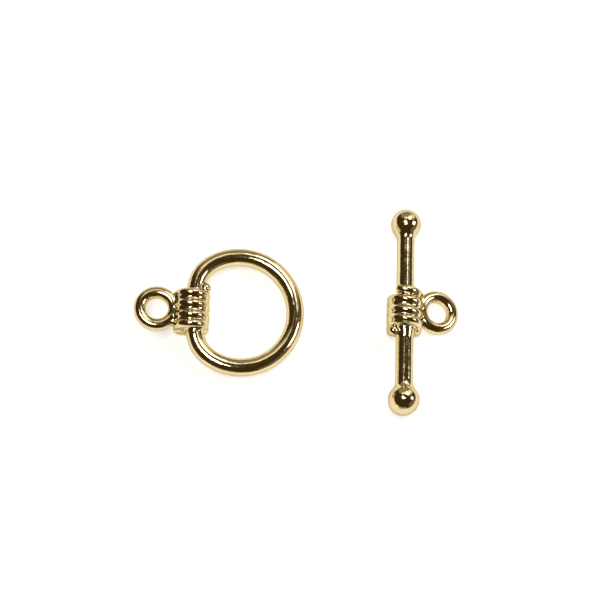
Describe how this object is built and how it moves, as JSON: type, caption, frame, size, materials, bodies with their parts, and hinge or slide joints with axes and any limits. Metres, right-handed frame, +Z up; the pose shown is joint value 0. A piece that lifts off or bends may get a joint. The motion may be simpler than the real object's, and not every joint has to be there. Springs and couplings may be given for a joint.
{
  "type": "toggle clasp",
  "caption": "Jewellery toggle clasp: a round hoop and a ball-ended bar, each with a wound sleeve and a round eye, cast and gold plated.",
  "frame": {"origin": "middle of the pair in plan, on the table that both halves lie on", "axes": "+X from the ring half to the bar half, +Y along the bar, +Z up from the table"},
  "size_m": [0.0322, 0.0212, 0.0036],
  "materials": {
    "gold_plate": "polished gold plating"
  },
  "bodies": {
    "ring": {"ring_half": "gold_plate"},
    "bar": {"bar_half": "gold_plate"}
  },
  "joints": [
    {"name": "bar_lift", "type": "slide", "parent": "ring", "child": "bar", "axis": [0, 0, 1], "range_m": [0, 0.012]}
  ]
}
